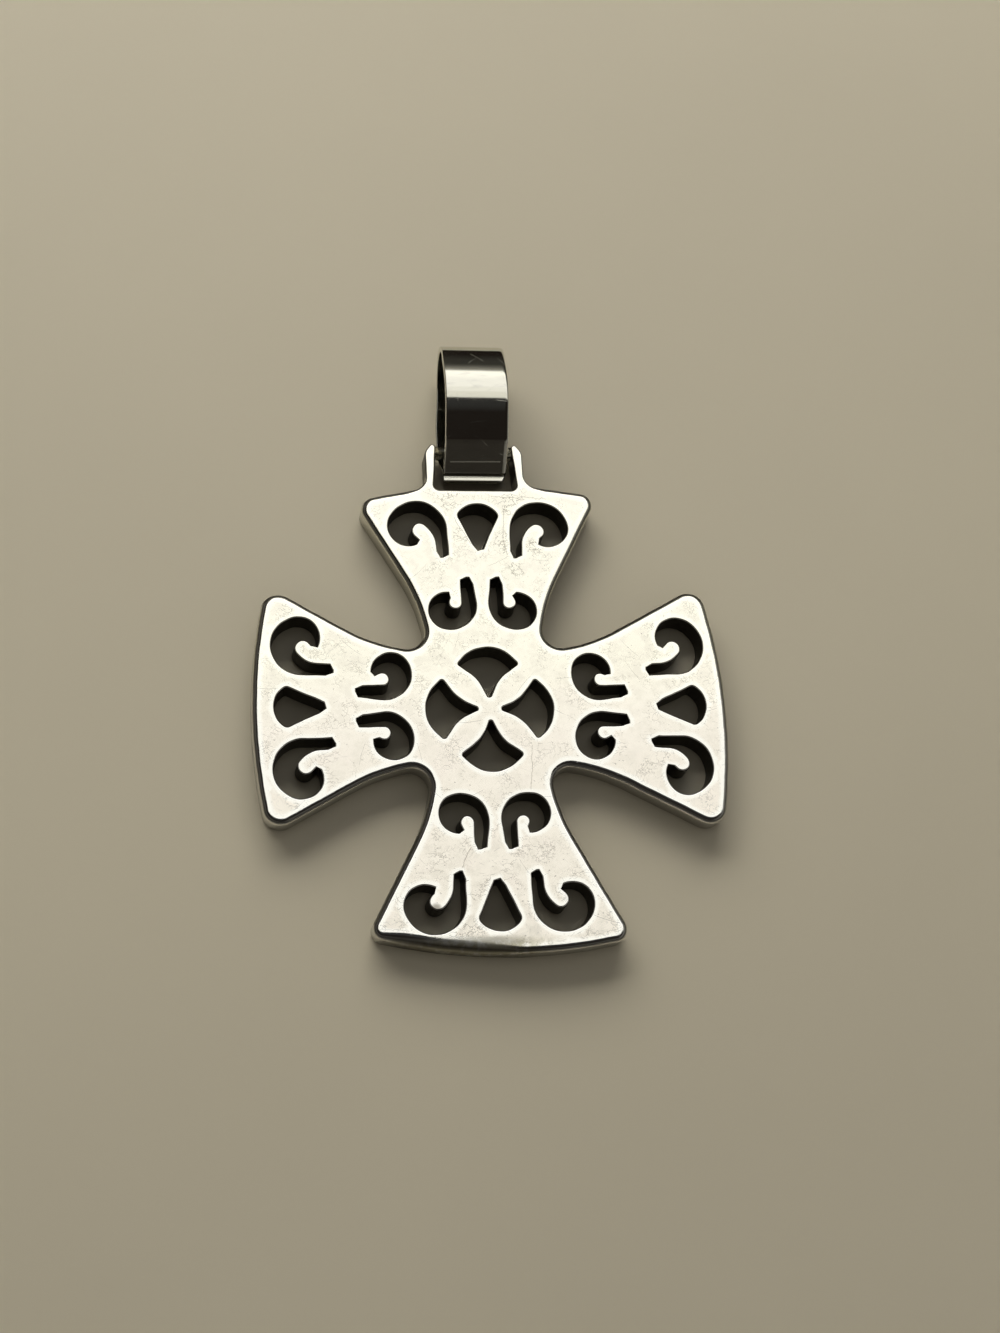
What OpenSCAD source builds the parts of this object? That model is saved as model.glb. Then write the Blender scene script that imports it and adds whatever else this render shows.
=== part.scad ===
// Pierced cross pendant, lying on its back: a cast plate with a lug, and the strap bail
// that swings on the lug's bar. X runs to the right, Y towards the bail and Z up from the
// flat back. The origin is the middle of the cross on its back.

/* [Plate] */
// Thickness of the cast plate
plate_t = 2.15; // [2.05:0.05:2.3]
// Reach of an arm from the middle of the cross to the middle of its end
arm_reach = 18.55; // [18.4:0.05:18.7]
// Radius of the bowed end of an arm
end_r = 42; // [38:1:50]
// Half width of an arm between the middles of its rounded corners
corner_x = 8; // [7.9:0.05:8.1]
// Radius of the corners of an arm, seen from the front
corner_r = 1.4; // [1.3:0.05:1.5]
// Distance in X and in Y from the middle to the round of a notch between two arms
notch_at = 6; // [5.95:0.05:6.05]
// Radius of the round in a notch
notch_r = 1.35; // [1.25:0.05:1.45]
// Radius of the hollow flank beside a notch
flank_r = 13.6; // [13:0.1:14.5]

/* [Lug] */
// Distance that the lug stands to the left of the middle line
lug_left = 0.18; // [0.1:0.02:0.24]
// Width of the lug over its two legs
lug_w = 7.9; // [7.8:0.05:8]
// Width of one leg
leg_w = 0.82; // [0.76:0.02:0.88]
// Top of the legs above the middle of the cross
leg_top = 22.05; // [22:0.05:22.15]
// Bottom of the slot under the bail
slot_y = 18.05; // [18:0.05:18.15]
// Rounding of the shoulders
shoulder_r = 1.1; // [0.8:0.1:1.3]
// Diameter of the bar that the bail swings on
bar_d = 1.05; // [0.95:0.05:1.1]
// Distance of the bar's middle above the middle of the cross
bar_y = 21.55; // [21.5:0.05:21.6]
// Height of the bar's middle above the back
bar_z = 1.2; // [1.15:0.05:1.25]

/* [Bail] */
// Distance that the bail stands to the left of the middle line
bail_left = 0.12; // [0.06:0.02:0.2]
// Width of the strap
strap_w = 5; // [4.6:0.1:5.2]
// Thickness of the strap
strap_t = 0.45; // [0.35:0.05:0.5]
// Height of the loop from its back leg to its crest
loop_h = 5.2; // [5.1:0.05:5.3]
// Length of the flat lip at the pinched tip of the loop
lip_l = 0.35; // [0.25:0.05:0.4]

/* [Hidden] */
$fn = 48;

// Columns of a round: middle in X and Y, radius, and side, which is 1 where the outline
// turns clockwise round it and -1 where it turns the other way
X = 0;
Y = 1;
RADIUS = 2;
SIDE = 3;

// Columns of an arm: turn from the upper arm, how far the casting moved the arm's pattern
// and end outwards and to its right, how much wider its end is on each side, how far the end
// leans to its left in degrees, and how far the notch on the arm's right moved in X and Y
TURN = 0;
OUT = 1;
ASIDE = 2;
WIDER = 3;
LEAN = 4;
NOTCH_X = 5;
NOTCH_Y = 6;
ARMS = [
    [0, 0, -0.14, -0.25, 1.7, -0.05, 0.35],
    [-90, 0.12, -0.17, 0, 1, 0, 0],
    [-180, 0.24, 0.08, 0, -1.9, -0.2, 0.05],
    [-270, -0.45, 0.27, -0.3, -0.5, -0.15, 0.3]
];

// Rounds of the cut-outs on the right half of the upper arm
OUTER_SCROLL = [
    [2.87, 12.68, 0.25, 1],
    [4.85, 14.68, 2.22, 1],
    [5.53, 14.90, 1.50, 1],
    [4.77, 13.65, 0.05, 1],
    [4.60, 14.55, 0.73, -1],
    [5.60, 13.30, 2.33, -1]
];
INNER_SCROLL = [
    [1.33, 10.47, 0.18, 1],
    [2.12, 8.62, 0.61, -1],
    [2.55, 9.28, 0.05, 1],
    [2.72, 7.93, 1.40, 1],
    [2.55, 8.46, 1.95, 1]
];
DROP = [
    [0, 13.2, 0.15, 1],
    [-1.16, 15.87, 0.3, 1],
    [0, 15, 1.75, 1],
    [1.16, 15.87, 0.3, 1]
];
FAN = [
    [0, 1.1, 0.08, 1],
    [-3.15, 0.5, 3.05, -1],
    [-2.12, 3.62, 0.08, 1],
    [0, 2.3, 2.53, 1],
    [2.12, 3.62, 0.08, 1],
    [3.15, 0.5, 3.05, -1]
];

// The way from the middle of a notch's round to the middle of a flank's hollow, which lies
// this many degrees nearer the middle of the cross than straight beside the arm
flank_tilt = 10;
flank_gap = flank_r - notch_r;
flank_x = flank_gap * cos(flank_tilt);
flank_y = -flank_gap * sin(flank_tilt);

// The middle of an arm's bowed end
end_y = arm_reach - end_r;

// Rounds of the bail's loop, seen along the bar with the chain's end to the right: the knee
// and the crest of the front leg, the nose, the heel and the bend of the back leg
crest_r = 5;
LOOP = [
    [22.2, 2.85, 1.2, 1],
    [25.6, loop_h - crest_r, crest_r, 1],
    [28.25, 2.5, 1.9, 1],
    [26.8, 3.95, 3.95, 1],
    [21.25, 1.6, 1.6, 1]
];
// The pinched tip outside, from the lip to the crease in the front leg, and inside
tip_y = 19.55;
TIP = [
    [tip_y - lip_l, 1.25, 0.2, 1],
    [tip_y - 0.11, 1.55, 0.1, -1],
    [tip_y + 0.17, 1.82, 0.16, 1],
    [tip_y + 0.3, 2.95, 0.6, -1]
];
TIP_INSIDE = [[20.2, 1.75, 0.55, 1]];

// Length below which a side of an outline is dropped
shortest = 0.01;
// How far a cutter stands clear of what it cuts
clear = 0.5;

// Radius of a round after the outline has grown, negative where the turn is reversed
function grown(round, grow) = round[RADIUS] * round[SIDE] + grow;

// Angle that is left of a number of degrees after whole turns, and none after nearly a turn
function within_turn(a) = let (rest = a - 360 * floor(a / 360)) rest > 359 ? 0 : rest;

// Direction of the outward side where the outline runs from one round to the next
function leaving(from, to) =
    let (
        step = [to[X] - from[X], to[Y] - from[Y]],
        drop = (grown(from, 0) - grown(to, 0)) / norm(step)
    )
    atan2(step[Y], step[X]) + acos(max(-1, min(1, drop)));

// Largest angle between two points on a round
function arc_step(round) = round[RADIUS] > 5 ? 4 : round[RADIUS] > 1 ? 12 : 24;

// Points of one round between its neighbours
function arc_points(before, round, after, grow) =
    let (
        arrive = leaving(before, round),
        leave = leaving(round, after),
        sweep = round[SIDE] > 0 ? -within_turn(arrive - leave) : within_turn(leave - arrive),
        steps = max(1, ceil(abs(sweep) / arc_step(round))),
        r = grown(round, grow)
    )
    [for (i = [0 : steps])
        let (a = arrive + sweep * i / steps)
        [round[X] + r * cos(a), round[Y] + r * sin(a)]];

// Points round all the rounds in turn, where two may lie on each other
function whole_belt(rounds, grow) =
    let (n = len(rounds))
    [for (i = [0 : n - 1])
        each arc_points(rounds[(i + n - 1) % n], rounds[i], rounds[(i + 1) % n], grow)];

// Closed outline that runs round all the rounds like a belt, moved outwards by grow. It has
// as many points at each grow, because the same ones are dropped.
function belt(rounds, grow = 0) =
    let (plain = whole_belt(rounds, 0), moved = whole_belt(rounds, grow), n = len(plain))
    [for (i = [0 : n - 1]) if (norm(plain[i] - plain[(i + n - 1) % n]) > shortest) moved[i]];

// A round of the upper arm, brought to its place on an arm
function on_arm(round, arm, moved = 1) =
    let (x = round[X] + moved * arm[ASIDE], y = round[Y] + moved * arm[OUT], a = arm[TURN])
    [x * cos(a) - y * sin(a), x * sin(a) + y * cos(a), round[RADIUS], round[SIDE]];

// A round of an arm's end, turned about the end's middle
function leaned(round, arm) =
    let (a = arm[LEAN], up = round[Y] - arm_reach)
    [
        round[X] * cos(a) - up * sin(a),
        arm_reach + round[X] * sin(a) + up * cos(a),
        round[RADIUS],
        round[SIDE]
    ];

// The round of one corner of an arm's end, which lies inside the end's bow
function corner(arm, way) =
    let (x = corner_x + arm[WIDER], y = end_y + sqrt(pow(end_r - corner_r, 2) - x * x))
    on_arm(leaned([way * x, y, corner_r, 1], arm), arm);

// The round of an arm's bowed end
function bow(arm) = on_arm(leaned([0, end_y, end_r, 1], arm), arm);

// The round in the notch on the right of an arm
function notch(arm) =
    let (middle = on_arm([notch_at, notch_at, notch_r, -1], arm, 0))
    [middle[X] + arm[NOTCH_X], middle[Y] + arm[NOTCH_Y], notch_r, -1];

// The hollow of an arm's flank beside a notch
function flank(beside, arm, way) =
    let (a = arm[TURN])
    [
        beside[X] + way * flank_x * cos(a) - flank_y * sin(a),
        beside[Y] + way * flank_x * sin(a) + flank_y * cos(a),
        flank_r,
        -1
    ];

// Rounds of the cross from the flank on the left of an arm to the notch on its right
function arm_rounds(i) =
    let (arm = ARMS[i], before = notch(ARMS[(i + 3) % 4]), after = notch(arm))
    [
        flank(before, arm, -1),
        corner(arm, -1),
        bow(arm),
        corner(arm, 1),
        flank(after, arm, 1),
        after
    ];
OUTLINE = [for (i = [0 : 3]) each arm_rounds(i)];

// How far up the upper arm's end lies at a distance to the right
function end_at(x) =
    let (round = bow(ARMS[0]))
    round[Y] + sqrt(pow(end_r, 2) - pow(x - round[X], 2));

// One cut-out on an arm, seen from the front
module cut_out(rounds, arm, moved = 1) {
    shift = moved * [arm[ASIDE], arm[OUT]];
    rotate(arm[TURN])
        translate(shift)
            polygon(belt(rounds));
}

// A scroll on the right half of an arm and its mirror image on the left half
module scroll_pair(rounds, arm) {
    cut_out(rounds, arm);
    rotate(arm[TURN])
        translate([arm[ASIDE], arm[OUT]])
            mirror([1, 0])
                polygon(belt(rounds));
}

// The cross seen from the front, with all that is pierced
module plate_plan() {
    difference() {
        polygon(belt(OUTLINE));
        for (arm = ARMS) {
            scroll_pair(OUTER_SCROLL, arm);
            scroll_pair(INNER_SCROLL, arm);
            cut_out(DROP, arm);
            cut_out(FAN, arm, 0);
        }
        slot_plan();
    }
}

// The slot between the legs, open at the top, a little wider at its foot
module slot_plan() {
    inner = lug_w / 2 - leg_w;
    taper = 0.15;
    slot_round = 0.45;
    polygon(belt([
        [-lug_left - inner + slot_round - taper, slot_y + slot_round, slot_round, 1],
        [-lug_left - inner + taper, leg_top + clear, 0.1, 1],
        [-lug_left + inner - taper, leg_top + clear, 0.1, 1],
        [-lug_left + inner - slot_round + taper, slot_y + slot_round, slot_round, 1]
    ]));
}

// The two legs seen from the front, joined to the arm with a fillet
module legs_plan() {
    side = lug_w / 2;
    root = arm_reach - 0.8;
    fillet_r = 1;
    difference() {
        union() {
            polygon(belt([
                [-lug_left - side + 0.2, root, 0.2, 1],
                [-lug_left - side + shoulder_r, leg_top - shoulder_r, shoulder_r, 1],
                [-lug_left + side - shoulder_r, leg_top - shoulder_r, shoulder_r, 1],
                [-lug_left + side - 0.2, root, 0.2, 1]
            ]));
            for (way = [-1, 1]) {
                foot_x = way * (side + fillet_r) - lug_left;
                fillet_plan([way * side - lug_left, end_at(foot_x)], fillet_r, way);
            }
        }
        slot_plan();
    }
}

// Fillet outside a leg, between it and the end of the arm
module fillet_plan(at, r, way) {
    sunk = 0.4;
    difference() {
        translate([at[X] - (way > 0 ? sunk : r), at[Y] - sunk])
            square([r + sunk, r + sunk]);
        translate([at[X] + way * r, at[Y] + r])
            circle(r);
    }
}

// The cross: one casting with its lug and the bar
module cross() {
    color([0.93, 0.92, 0.89]) {
        linear_extrude(plate_t) {
            plate_plan();
            legs_plan();
        }
        lug_bar();
    }
}

// The round bar between the legs
module lug_bar() {
    bar_l = lug_w - leg_w;
    translate([-lug_left - bar_l / 2, bar_y, bar_z])
        rotate([0, 90, 0])
            cylinder(h = bar_l, d = bar_d);
}

// The bail: one strap bent to a loop round the bar and soldered at its foot
module bail() {
    color([0.80, 0.79, 0.77])
        translate([-bail_left - strap_w / 2, 0, 0])
            rotate([90, 0, 90])
                linear_extrude(strap_w)
                    difference() {
                        polygon(belt(concat(TIP, LOOP)));
                        polygon(belt(concat(TIP_INSIDE, LOOP), -strap_t));
                    }
}

cross();
bail();
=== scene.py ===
"""Looks of the pierced cross pendant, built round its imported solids.

The cast cross, the bar of its lug and the strap bail are made again here as fine meshes
from the same rounds as the solids, so that their edges can be rounded and worn, and each
is dressed in its own silver. Sizes are in millimetres until a mesh is made.
"""

import logging
import math
from collections.abc import Mapping, Sequence
from dataclasses import dataclass, field, replace
from enum import IntEnum
from typing import Any

import bmesh
import bpy
import numpy as np
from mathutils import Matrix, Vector
from mathutils.geometry import delaunay_2d_cdt

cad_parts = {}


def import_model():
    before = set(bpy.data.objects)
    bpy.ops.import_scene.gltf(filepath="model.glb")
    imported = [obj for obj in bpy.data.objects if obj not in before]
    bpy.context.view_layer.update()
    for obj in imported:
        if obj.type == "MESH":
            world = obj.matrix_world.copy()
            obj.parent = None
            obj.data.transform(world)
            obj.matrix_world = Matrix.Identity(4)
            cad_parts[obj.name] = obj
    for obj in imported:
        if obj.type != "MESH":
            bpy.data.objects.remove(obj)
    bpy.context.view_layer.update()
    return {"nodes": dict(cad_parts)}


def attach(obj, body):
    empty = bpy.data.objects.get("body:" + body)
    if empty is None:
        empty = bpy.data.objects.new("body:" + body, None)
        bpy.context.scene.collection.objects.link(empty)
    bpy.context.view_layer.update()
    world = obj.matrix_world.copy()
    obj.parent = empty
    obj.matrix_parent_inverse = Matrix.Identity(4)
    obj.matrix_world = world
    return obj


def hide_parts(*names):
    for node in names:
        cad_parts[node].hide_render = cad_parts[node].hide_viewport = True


LOG = logging.getLogger("pendant")
MM = 0.001
# The waves of a hand-filed edge: turns by x and by y, a start and a height
WAVES = ((2.3, 1.1, 0.4, 1.0), (-1.7, 2.9, 2.1, 1.0), (5.3, 4.1, 0.0, 0.6))
# The hollows of the polished face, in the same terms
HOLLOWS = ((0.55, 0.31, 0.3, 0.006), (-0.27, 0.68, 1.9, 0.005), (1.15, -0.9, 0.7, 0.0016))
# How far the waves of the outer edge are lowered
WAVE_DROP = 2.2
# How many places are compared at a time, and how close two points count as one
BATCH = 500
MERGE = 1e-7

Colour = tuple[float, float, float]
Triple = tuple[float, float, float]
Span = tuple[float, float]
Numbers = float | np.ndarray
Socket = bpy.types.NodeSocket
Tone = Colour | Socket
Inputs = Mapping[str | int, Any]
Settings = Mapping[str, Any]


class Hand(IntEnum):
    """A side of the middle line."""

    LEFT = -1
    RIGHT = 1


class Facing(IntEnum):
    """Which way a wall faces from its outline."""

    OUT = 1
    IN = -1


def smooth(low: float, high: float, at: np.ndarray) -> np.ndarray:
    """Rises smoothly from 0 at low to 1 at high.

    Args:
        low: where the rise starts.
        high: where it ends, which may be below low for a fall.
        at: the values to look up.

    Returns:
        An array of at's shape with values from 0 to 1.
    """
    t = np.clip((at - low) / (high - low), 0.0, 1.0)
    return t * t * (3.0 - 2.0 * t)


# Outlines: belts round circles, from which every shape is made


@dataclass(frozen=True)
class Arm:
    """How one arm of the casting differs from the pattern: its turn in degrees, how far
    its pattern and end moved outwards and to its right, how much wider its end is, how
    many degrees the end leans to its left, where the notch on its right moved to, and how
    much sharper its left and its right corner are."""

    turn: float
    out: float
    aside: float
    wider: float
    lean: float
    notch_x: float
    notch_y: float
    left_sharper: float = 0.0
    right_sharper: float = 0.0


@dataclass(frozen=True)
class Round:
    """A circle that an outline runs round like a belt. Its side is 1 where the outline
    turns clockwise round it and -1 where it turns the other way."""

    x: float
    y: float
    radius: float
    side: int = 1

    def mirrored(self) -> "Round":
        """The same circle on the other side of the middle line."""
        return Round(-self.x, self.y, self.radius, self.side)

    def on(self, arm: Arm, moved: bool = True) -> "Round":
        """Brings a circle of the upper arm to its place on an arm.

        Args:
            arm: the arm it goes to.
            moved: whether it moves with the arm's pattern.

        Returns:
            The circle on that arm.
        """
        a = math.radians(arm.turn)
        x = self.x + moved * arm.aside
        y = self.y + moved * arm.out
        c, s = math.cos(a), math.sin(a)
        return Round(x * c - y * s, x * s + y * c, self.radius, self.side)


@dataclass(frozen=True)
class Outline:
    """Points of a closed outline, and at each the direction that leads out of it."""

    points: np.ndarray
    normals: np.ndarray

    def moved(self, grow: Numbers) -> np.ndarray:
        """The points, moved outwards by one distance or by one for each point."""
        return self.points + self.normals * np.reshape(grow, (-1, 1))

    def wavering(self, swing: float, inwards: bool = False) -> "Outline":
        """A hand-filed copy, whose edge wanders a little.

        Args:
            swing: the farthest that a point moves.
            inwards: whether it only moves inwards.

        Returns:
            The copy, with as many points.
        """
        x, y = self.points.T
        wave = sum(high * np.sin(kx * x + ky * y + start) for kx, ky, start, high in WAVES)
        wave = wave / sum(high for *_, high in WAVES)
        lowered = (wave - WAVE_DROP) / 2.0
        return Outline(self.moved(swing * (lowered if inwards else wave)), self.normals)


@dataclass(frozen=True)
class BeltMaker:
    """Runs a belt round circles and sets points along it: its longest and its shortest
    step, and the degrees from point to point on small, middling and large rounds."""

    longest: float = 0.42
    shortest: float = 0.012
    fine: float = 9.0
    medium: float = 5.0
    coarse: float = 1.5
    small: float = 1.0
    large: float = 5.0
    nearly_whole: float = 359.0

    def turn_step(self, radius: float) -> float:
        """Says how finely a round is stepped.

        Args:
            radius: its radius.

        Returns:
            The degrees from point to point.
        """
        if radius > self.large:
            return self.coarse
        return self.medium if radius > self.small else self.fine

    def round_the(self, rounds: Sequence[Round]) -> Outline:
        """Sets points along the belt.

        Args:
            rounds: the circles, in the order in which the belt meets them.

        Returns:
            The belt as an outline.
        """
        count = len(rounds)
        leave = []
        for i, a in enumerate(rounds):
            b = rounds[(i + 1) % count]
            dx, dy = b.x - a.x, b.y - a.y
            drop = (a.radius * a.side - b.radius * b.side) / math.hypot(dx, dy)
            tilt = math.degrees(math.acos(max(-1.0, min(1.0, drop))))
            leave.append(math.degrees(math.atan2(dy, dx)) + tilt)
        points, angles = [], []
        for i, a in enumerate(rounds):
            arrive = leave[i - 1]
            sweep = (leave[i] - arrive) % 360.0 if a.side < 0 else (arrive - leave[i]) % 360.0
            sweep = 0.0 if sweep > self.nearly_whole else sweep
            steps = max(1, math.ceil(sweep / self.turn_step(a.radius)))
            for k in range(steps + 1):
                angle = math.radians(arrive - a.side * sweep * k / steps)
                reach = a.radius * a.side
                points.append((a.x + reach * math.cos(angle), a.y + reach * math.sin(angle)))
                angles.append(angle)
        return self._evened(np.array(points), np.array(angles))

    def _evened(self, points: np.ndarray, angles: np.ndarray) -> Outline:
        """Drops points that lie on each other and adds some along the straight runs.

        Args:
            points: the points.
            angles: the way out of the outline at each, in radians.

        Returns:
            The evened outline.
        """
        normals = np.stack([np.cos(angles), np.sin(angles)], 1)
        kept_points, kept_normals = [], []
        for i, point in enumerate(points):
            step = point - points[i - 1]
            length = float(np.hypot(*step))
            if length < self.shortest:
                continue
            extra = math.ceil(length / self.longest)
            for k in range(1, extra):
                t = k / extra
                kept_points.append(points[i - 1] + step * t)
                between = normals[i - 1] * (1 - t) + normals[i] * t
                kept_normals.append(between / np.hypot(*between))
            kept_points.append(point)
            kept_normals.append(normals[i])
        return Outline(np.array(kept_points), np.array(kept_normals))


def inside(loops: Sequence[np.ndarray], at: np.ndarray) -> np.ndarray:
    """Tells which points lie within an odd number of closed loops.

    Args:
        loops: closed loops of points, each without its first point again at its end.
        at: the points to test.

    Returns:
        True for each point inside.
    """
    odd = np.zeros(len(at), bool)
    for loop in loops:
        x0, y0 = loop.T
        x1, y1 = np.roll(loop, -1, axis=0).T
        for i in range(0, len(at), BATCH):
            x, y = at[i : i + BATCH, 0, None], at[i : i + BATCH, 1, None]
            crosses = (y0 > y) != (y1 > y)
            slope = np.where(y1 == y0, 1.0, y1 - y0)
            left = x < x0 + (y - y0) * (x1 - x0) / slope
            odd[i : i + BATCH] ^= (crosses & left).sum(1) % 2 == 1
    return odd


def nearest(at: np.ndarray, others: np.ndarray) -> np.ndarray:
    """Measures how far places are from some others.

    Args:
        at: the places.
        others: the others.

    Returns:
        For each place, how far the nearest of the others is.
    """
    parts = np.array_split(at, math.ceil(len(at) / BATCH))
    away = [np.sqrt(((part[:, None] - others) ** 2).sum(2).min(1)) for part in parts]
    return np.concatenate(away)


# Meshes: closed shells with smooth directions and masks


@dataclass
class Shell:
    """A closed mesh under construction, with its smooth directions and its masks."""

    points: list[np.ndarray] = field(default_factory=list)
    normals: list[np.ndarray] = field(default_factory=list)
    masks: dict[str, list[np.ndarray]] = field(default_factory=dict)
    faces: list[tuple[int, ...]] = field(default_factory=list)
    count: int = 0

    def add(self, points: np.ndarray, normals: np.ndarray, **masks: Numbers) -> range:
        """Adds points.

        Args:
            points: their places, three numbers each.
            normals: their directions, three numbers each.
            masks: one number for each point, or one for all, by the mask's name.

        Returns:
            The numbers under which faces name them.
        """
        self.points.append(points)
        self.normals.append(normals)
        for name, value in masks.items():
            self.masks.setdefault(name, []).append(np.broadcast_to(value, len(points)))
        self.count += len(points)
        return range(self.count - len(points), self.count)

    def band(self, a: Sequence[int], b: Sequence[int]) -> None:
        """Joins two rings of as many points with a band of faces.

        Args:
            a: the numbers of the first ring's points.
            b: those of the second ring's.
        """
        count = len(a)
        for i in range(count):
            j = (i + 1) % count
            self.faces.append((a[i], a[j], b[j], b[i]))

    def tube(self, rings: Sequence[Sequence[int]]) -> None:
        """Joins each ring to the next."""
        for a, b in zip(rings, rings[1:]):
            self.band(a, b)

    def flat_loops(self, rings: Sequence[Sequence[int]], axes: slice) -> list[np.ndarray]:
        """The flat places of rings, along the two axes of the plane that they lie in."""
        points = np.concatenate(self.points)
        return [points[list(ring)][:, axes] for ring in rings]

    def fill(
        self,
        rings: Sequence[Sequence[int]],
        loops: Sequence[np.ndarray],
        inner: Sequence[int] = (),
        spots: np.ndarray | None = None,
    ) -> None:
        """Fills the flat area between closed rings with triangles.

        Args:
            rings: each ring's point numbers.
            loops: the flat places of each ring.
            inner: the numbers of the loose points between the rings.
            spots: the flat places of those.
        """
        numbers = [n for ring in rings for n in ring] + list(inner)
        flat = np.concatenate([*loops, *([] if spots is None else [spots])])
        edges, start = [], 0
        for ring in rings:
            size = len(ring)
            edges += [(start + i, start + (i + 1) % size) for i in range(size)]
            start += size
        made = delaunay_2d_cdt([Vector(p) for p in flat], edges, [], 0, MERGE)
        places, triangles, source = made[0], made[2], made[3]
        centres = np.array([np.mean([places[v] for v in t], axis=0) for t in triangles])
        wanted = inside(loops, centres)
        for triangle, keep in zip(triangles, wanted):
            if keep:
                self.faces.append(tuple(numbers[source[v][0]] for v in triangle))

    def finished(self, name: str) -> bpy.types.Object:
        """Makes the object, in metres and with all its faces turned outwards.

        Args:
            name: its name.

        Returns:
            The object.
        """
        mesh = bpy.data.meshes.new(name)
        points = np.concatenate(self.points) * MM
        mesh.from_pydata(points.tolist(), [], self.faces)
        work = bmesh.new()
        work.from_mesh(mesh)
        bmesh.ops.recalc_face_normals(work, faces=work.faces)
        work.to_mesh(mesh)
        work.free()
        for mask, parts in self.masks.items():
            layer = mesh.attributes.new(mask, "FLOAT", "POINT")
            layer.data.foreach_set("value", np.concatenate(parts).astype(np.float32))
        mesh.polygons.foreach_set("use_smooth", [True] * len(mesh.polygons))
        normals = np.concatenate(self.normals)
        normals /= np.linalg.norm(normals, axis=1)[:, None]
        mesh.normals_split_custom_set_from_vertices(normals.tolist())
        piece = bpy.data.objects.new(name, mesh)
        bpy.context.scene.collection.objects.link(piece)
        return piece


def with_height(flat: np.ndarray, z: Numbers) -> np.ndarray:
    """Flat places with a third number, their height."""
    return np.column_stack([flat, np.broadcast_to(z, len(flat))])


def quarter(steps: int) -> np.ndarray:
    """Angles in radians from 0 to a quarter turn."""
    return np.linspace(0.0, math.pi / 2, steps + 1)


# Materials: sums of shader values, and the two silvers


class Value:
    """A number that may vary over a surface, with the sums it takes part in."""

    def __init__(self, paint: "Paint", socket: Socket) -> None:
        """Wraps an output socket of one of the material's nodes."""
        self.paint = paint
        self.socket = socket

    def _sum(self, operation: str, *terms: "Value | float") -> "Value":
        """Adds a Math node with these terms."""
        inputs = {i: term for i, term in enumerate(terms)}
        return self.paint.value("ShaderNodeMath", {"operation": operation}, inputs)

    def __add__(self, other: "Value | float") -> "Value":
        """This plus the other."""
        return self._sum("ADD", self, other)

    __radd__ = __add__

    def __mul__(self, other: "Value | float") -> "Value":
        """This times the other."""
        return self._sum("MULTIPLY", self, other)

    __rmul__ = __mul__

    def __sub__(self, other: "Value | float") -> "Value":
        """This less the other."""
        return self._sum("SUBTRACT", self, other)

    def __rsub__(self, other: "Value | float") -> "Value":
        """The other less this."""
        return self._sum("SUBTRACT", other, self)

    def __abs__(self) -> "Value":
        """This without its sign."""
        return self._sum("ABSOLUTE", self)

    def least(self, other: "Value | float") -> "Value":
        """The smaller of the two."""
        return self._sum("MINIMUM", self, other)

    def most(self, other: "Value | float") -> "Value":
        """The larger of the two."""
        return self._sum("MAXIMUM", self, other)

    def rise(self, low: float, high: float) -> "Value":
        """Rises smoothly from 0 at low to 1 at high.

        Args:
            low: where the rise starts.
            high: where it ends, which may be below low for a fall.

        Returns:
            A value from 0 to 1.
        """
        flip = high < low
        settings = {"interpolation_type": "SMOOTHSTEP"}
        ends = {"From Min": min(low, high), "From Max": max(low, high)}
        risen = self.paint.value("ShaderNodeMapRange", settings, {"Value": self, **ends})
        return 1.0 - risen if flip else risen


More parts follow.
